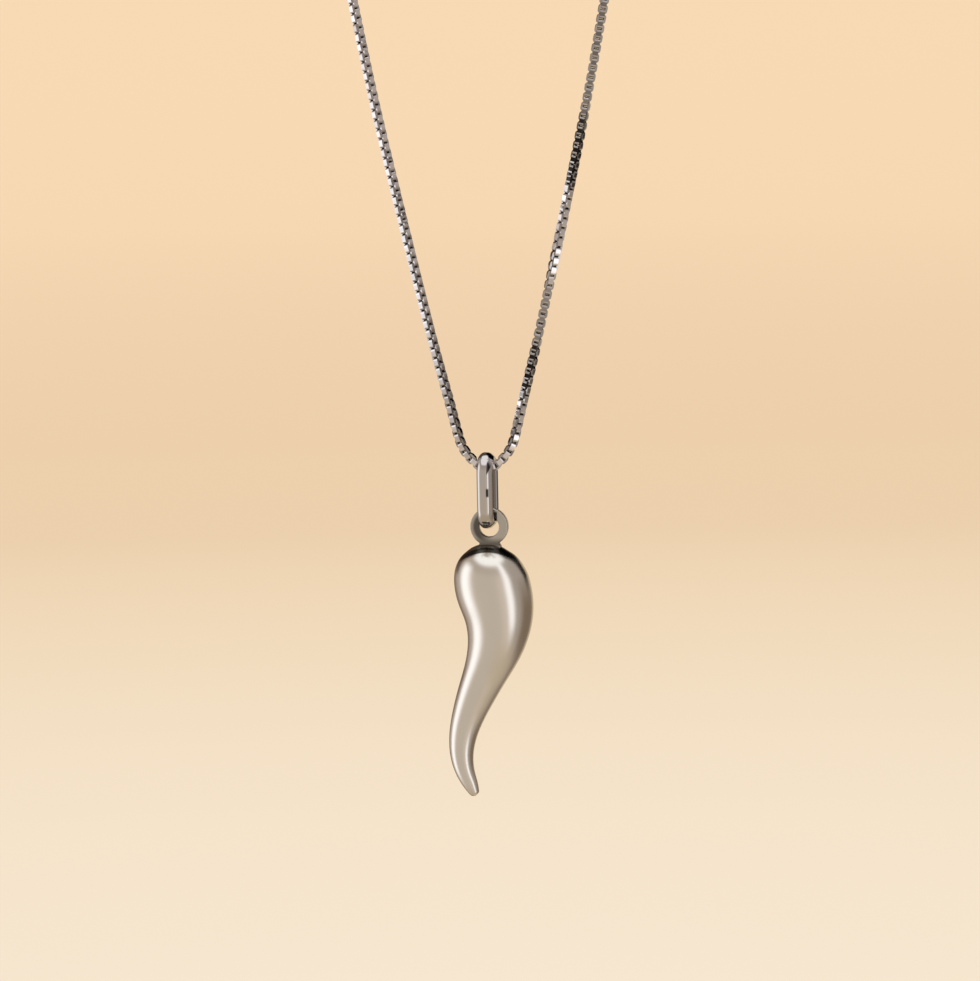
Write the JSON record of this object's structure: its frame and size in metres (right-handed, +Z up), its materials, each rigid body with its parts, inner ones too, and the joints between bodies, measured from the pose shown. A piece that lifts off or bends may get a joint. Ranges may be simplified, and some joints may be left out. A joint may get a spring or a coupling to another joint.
{
  "type": "horn charm pendant necklace",
  "caption": "Smooth S-curved tapering horn charm with a flat eye, hung by a long oval bail on a fine box chain that closes with a plain ring clasp.",
  "frame": {"origin": "middle of the loop's top, at the level of the clasp's underside, where the necklace bears on the nape", "axes": "+Z up, the loop and the horn's S-curve in the XZ plane, and the front of the jewel towards -Y"},
  "size_m": [0.061, 0.0076, 0.2391],
  "materials": {
    "chain_silver": "polished silver box chain",
    "clasp_silver": "polished silver",
    "bail_silver": "polished silver",
    "horn_silver": "polished silver with a soft, slightly brushed sheen"
  },
  "bodies": {
    "chain": {"chain": "chain_silver", "clasp": "clasp_silver", "end_ring_left": "clasp_silver", "end_ring_right": "clasp_silver"},
    "bail": {"bail": "bail_silver"},
    "horn": {"horn": "horn_silver"}
  },
  "joints": [
    {"name": "bail_swing", "type": "hinge", "parent": "chain", "child": "bail", "pos_m": [0, 0, -0.204], "axis": [1, 0, 0], "range_deg": [-90, 90]},
    {"name": "horn_swing", "type": "hinge", "parent": "bail", "child": "horn", "pos_m": [0, 0, -0.20982], "axis": [0, 1, 0], "range_deg": [-90, 90]}
  ]
}
